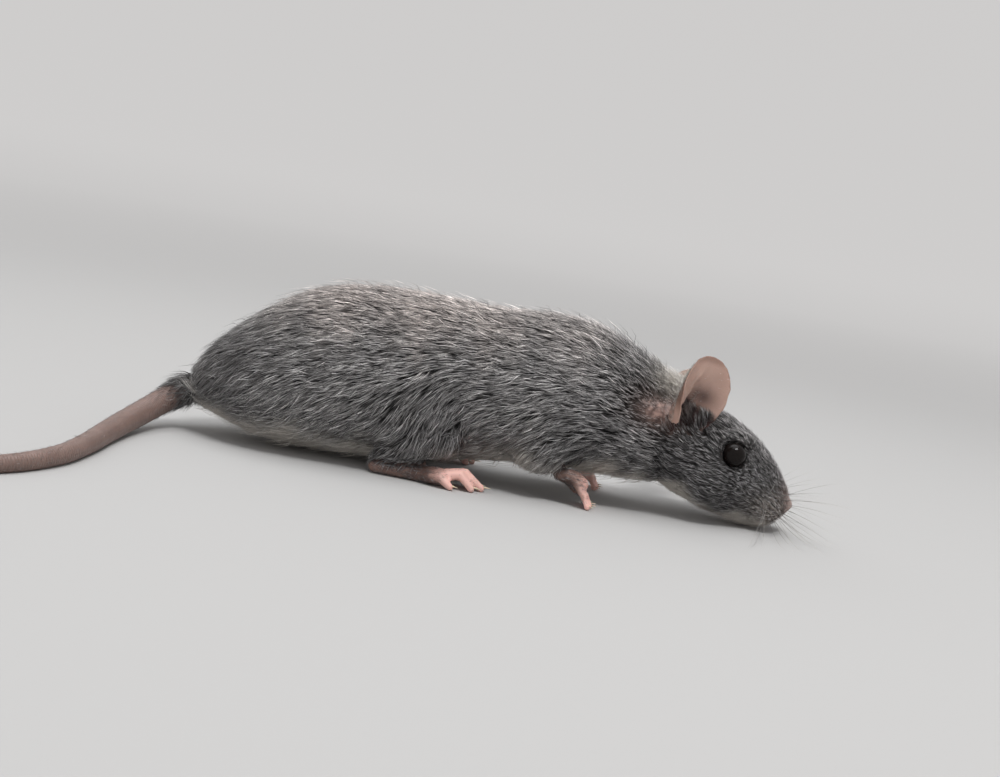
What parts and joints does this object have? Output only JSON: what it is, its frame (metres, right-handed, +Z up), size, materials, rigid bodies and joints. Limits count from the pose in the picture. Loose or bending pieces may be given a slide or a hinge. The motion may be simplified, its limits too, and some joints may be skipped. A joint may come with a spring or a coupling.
{
  "type": "house mouse model",
  "caption": "Life-size grey mouse crouched low on its feet, head stretched forward and down, long thin tail curling away on the ground.",
  "frame": {"origin": "middle of the bounding box's footprint, on the ground the mouse rests on", "axes": "+X the way the mouse faces, +Y its left, +Z up"},
  "size_m": [0.1346, 0.0754, 0.0268],
  "materials": {
    "coat": "short soft fur, grey with pale tips, matt",
    "neck_coat": "fur a little longer and paler than on the head, matt",
    "head_coat": "very short dark grey fur, matt",
    "leg_coat": "short grey fur, paler on the inside, matt",
    "ear_skin": "thin pinkish brown skin, almost bare, satin",
    "foot_skin": "bare pink skin with sparse short hairs, satin",
    "tail_skin": "brownish mauve ringed skin with fine short hairs, satin",
    "eye_surface": "wet black, mirror-like"
  },
  "bodies": {
    "root": {"trunk": "coat", "neck": "neck_coat", "head": "head_coat", "ear_right": "ear_skin", "ear_left": "ear_skin", "eye_right": "eye_surface", "eye_left": "eye_surface", "foreleg_right": "leg_coat", "foreleg_left": "leg_coat", "forepaw_right": "foot_skin", "forepaw_left": "foot_skin", "hindleg_right": "leg_coat", "hindleg_left": "leg_coat", "hindfoot_right": "foot_skin", "hindfoot_left": "foot_skin", "tail_root": "tail_skin", "tail_fore": "tail_skin", "tail_mid": "tail_skin", "tail_tip": "tail_skin"}
  },
  "joints": []
}
